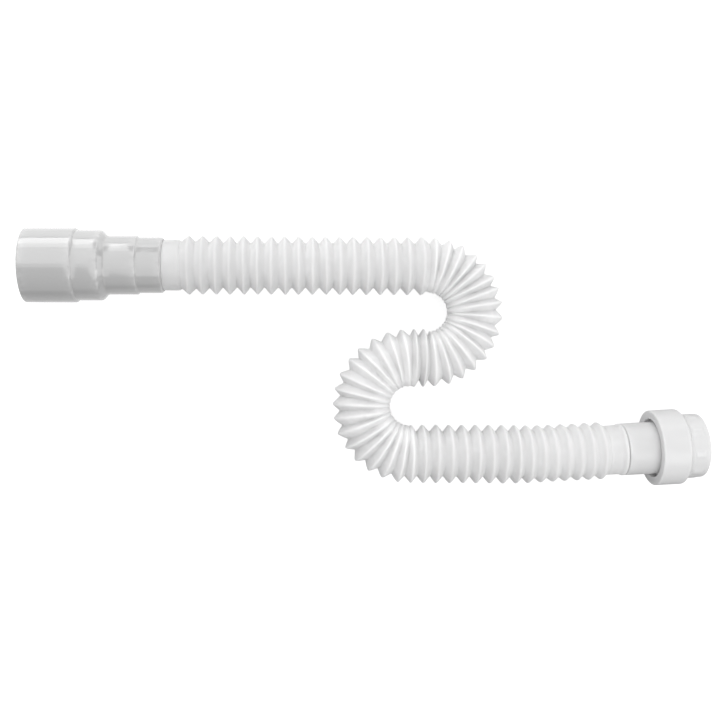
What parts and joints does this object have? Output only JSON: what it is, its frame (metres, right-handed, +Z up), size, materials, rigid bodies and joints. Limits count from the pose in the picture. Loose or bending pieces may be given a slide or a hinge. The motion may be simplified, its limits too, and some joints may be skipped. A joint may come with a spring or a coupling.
{
  "type": "flexible sink trap",
  "caption": "White corrugated sink trap hose bent in a flat S, with a stepped push-in outlet adaptor and a swivelling inlet coupling nut.",
  "frame": {"origin": "centre of the part's bounding box at its lowest level, where it lies on the floor", "axes": "+X from the outlet adaptor towards the inlet nut, along both straight runs; +Z up, across the flat S"},
  "size_m": [0.4598, 0.1752, 0.051],
  "materials": {
    "hose_plastic": "satin white polypropylene",
    "adaptor_plastic": "glossy pale grey-white plastic",
    "spigot_plastic": "smooth off-white plastic",
    "nut_plastic": "smooth white plastic",
    "washer_rubber": "black sealing rubber"
  },
  "bodies": {
    "root": {"corrugated_hose": "hose_plastic", "outlet_adaptor": "adaptor_plastic", "inlet_spigot": "spigot_plastic"},
    "nut": {"coupling_nut": "nut_plastic", "sealing_washer": "washer_rubber"}
  },
  "joints": [
    {"name": "nut_spin", "type": "hinge", "parent": "root", "child": "nut", "pos_m": [0.19605, -0.06224, 0.0255], "axis": [0.9984, 0.0558, 0], "continuous": true}
  ]
}
